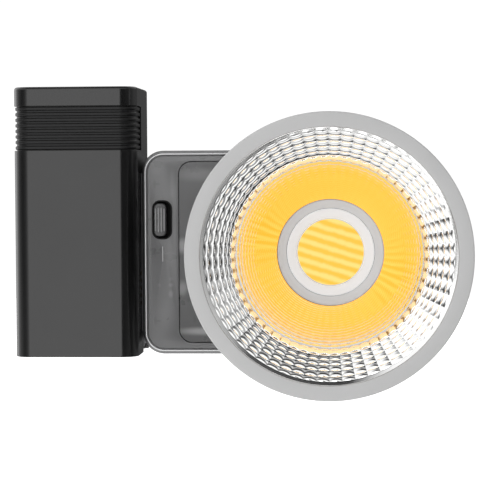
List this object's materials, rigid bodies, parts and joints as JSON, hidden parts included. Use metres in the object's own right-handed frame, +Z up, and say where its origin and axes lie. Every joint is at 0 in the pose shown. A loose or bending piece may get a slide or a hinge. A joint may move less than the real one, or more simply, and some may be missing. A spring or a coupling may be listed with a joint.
{
  "type": "compact led spotlight with faceted reflector and battery grip",
  "caption": "Flat pocket-size LED lamp head with a round faceted bayonet reflector and a slide-on upright battery grip.",
  "frame": {"origin": "mouth of the tripod socket in the underside of the lamp head", "axes": "+X from the battery grip towards the lamp end, +Y towards the back of the lamp head, +Z up; light leaves along -Y"},
  "size_m": [0.1944, 0.095, 0.1305],
  "materials": {
    "dark_shell": "fine matt moulded texture",
    "smoke_cover": "smoke-grey translucent cover, satin",
    "smoke_panel": "smoke-grey translucent panel, satin",
    "trim_silver": "bright satin trim",
    "gloss_black": "gloss black",
    "cast_ring": "satin machined",
    "white_holder": "white matt",
    "substrate": "polished",
    "phosphor": "yellow gel over the light source",
    "spreader": "milled",
    "heatsink_black": "dark anodised",
    "black_plastic": "matt",
    "winding": "enamelled copper wire",
    "brass_part": "turned brass",
    "circuit_board": "solder mask",
    "components": "moulded",
    "display_glass": "dark display window",
    "steel_part": "bright steel",
    "screw_steel": "black oxide",
    "rail_metal": "satin anodised",
    "contact_plastic": "natural moulded",
    "gold_contact": "gold plated",
    "wire_red": "silicone insulation",
    "slider_grey": "dark grey metallic",
    "knob_black": "matt fluted",
    "switch_red": "satin",
    "bowl_mirror": "vacuum metallised facets",
    "rim_silver": "silver matt",
    "collar_metal": "satin",
    "grip_black": "fine spark-eroded texture",
    "rib_rubber": "ribbed soft band",
    "cell_wrap": "shrink-wrapped steel can",
    "button_grey": "satin",
    "light_pipe": "frosted clear"
  },
  "bodies": {
    "lamp_head": {"rear_housing": "dark_shell", "front_cover": "smoke_cover", "trim_bezel": "trim_silver", "mount_panel": "smoke_panel", "slider_surround": "gloss_black", "mount_ring": "cast_ring", "cob_retainer": "cast_ring", "cob_holder": "white_holder", "cob_substrate": "substrate", "cob_phosphor": "phosphor", "heat_spreader": "spreader", "heatsink": "heatsink_black", "fan_frame": "black_plastic", "fan_stator": "winding", "fan_bearing": "brass_part", "driver_board": "circuit_board", "driver_components": "components", "control_board": "circuit_board", "display_module": "components", "display_window": "display_glass", "encoders": "components", "back_grille": "black_plastic", "dc_jack": "black_plastic", "usb_c_port": "steel_part", "power_switch_body": "black_plastic", "tripod_bush": "brass_part", "housing_screws": "screw_steel", "rail_plate": "rail_metal", "contact_block": "contact_plastic", "contact_pins": "gold_contact", "latch_leaf": "steel_part", "led_leads": "wire_red", "slider_spring": "steel_part"},
    "unlock_slide": {"unlock_slider": "slider_grey"},
    "brightness_dial": {"brightness_knob": "knob_black"},
    "cct_dial": {"cct_knob": "knob_black"},
    "power_slide": {"power_switch_knob": "switch_red"},
    "fan": {"fan_rotor": "black_plastic", "fan_shaft": "steel_part"},
    "reflector": {"reflector_bowl": "bowl_mirror", "reflector_rim": "rim_silver", "reflector_shell": "dark_shell", "reflector_collar": "collar_metal", "reflector_screws": "screw_steel"},
    "grip": {"grip_shell": "grip_black", "grip_ribbed_insert": "rib_rubber", "grip_back_cover": "grip_black", "grip_bottom_cap": "grip_black", "grip_channel": "rail_metal", "battery_cells": "cell_wrap", "cell_cradles": "black_plastic", "bms_boards": "circuit_board", "bms_components": "components", "grip_usb_c_port": "steel_part", "level_light_pipes": "light_pipe", "grip_contact_pads": "gold_contact", "grip_tripod_bush": "brass_part", "grip_screws": "screw_steel"},
    "charge_key": {"charge_button": "button_grey"}
  },
  "joints": [
    {"name": "grip_slide", "type": "slide", "parent": "lamp_head", "child": "grip", "axis": [0, 0, 1], "range_m": [0, 0.095]},
    {"name": "charge_key_press", "type": "slide", "parent": "grip", "child": "charge_key", "axis": [0, -1, 0], "range_m": [0, 0.0006], "stiffness_N_per_m": 300, "springref_m": -0.0003},
    {"name": "unlock_slide", "type": "slide", "parent": "lamp_head", "child": "unlock_slide", "axis": [1, 0, 0], "range_m": [0, 0.0018], "stiffness_N_per_m": 200, "springref_m": -0.0015, "deforming": ["slider_spring", "latch_leaf"]},
    {"name": "brightness_turn", "type": "hinge", "parent": "lamp_head", "child": "brightness_dial", "pos_m": [-0.038, 0.022, 0.066], "axis": [0, 1, 0], "continuous": true},
    {"name": "cct_turn", "type": "hinge", "parent": "lamp_head", "child": "cct_dial", "pos_m": [-0.038, 0.022, 0.022], "axis": [0, 1, 0], "continuous": true},
    {"name": "power_slide", "type": "slide", "parent": "lamp_head", "child": "power_slide", "axis": [0, 0, 1], "range_m": [0, 0.0042]},
    {"name": "fan_spin", "type": "hinge", "parent": "lamp_head", "child": "fan", "pos_m": [0.019, 0.006, 0.044], "axis": [0, 1, 0], "continuous": true},
    {"name": "reflector_twist", "type": "hinge", "parent": "lamp_head", "child": "reflector", "pos_m": [0.019, -0.024, 0.044], "axis": [0, -1, 0], "range_deg": [0, 45]}
  ]
}
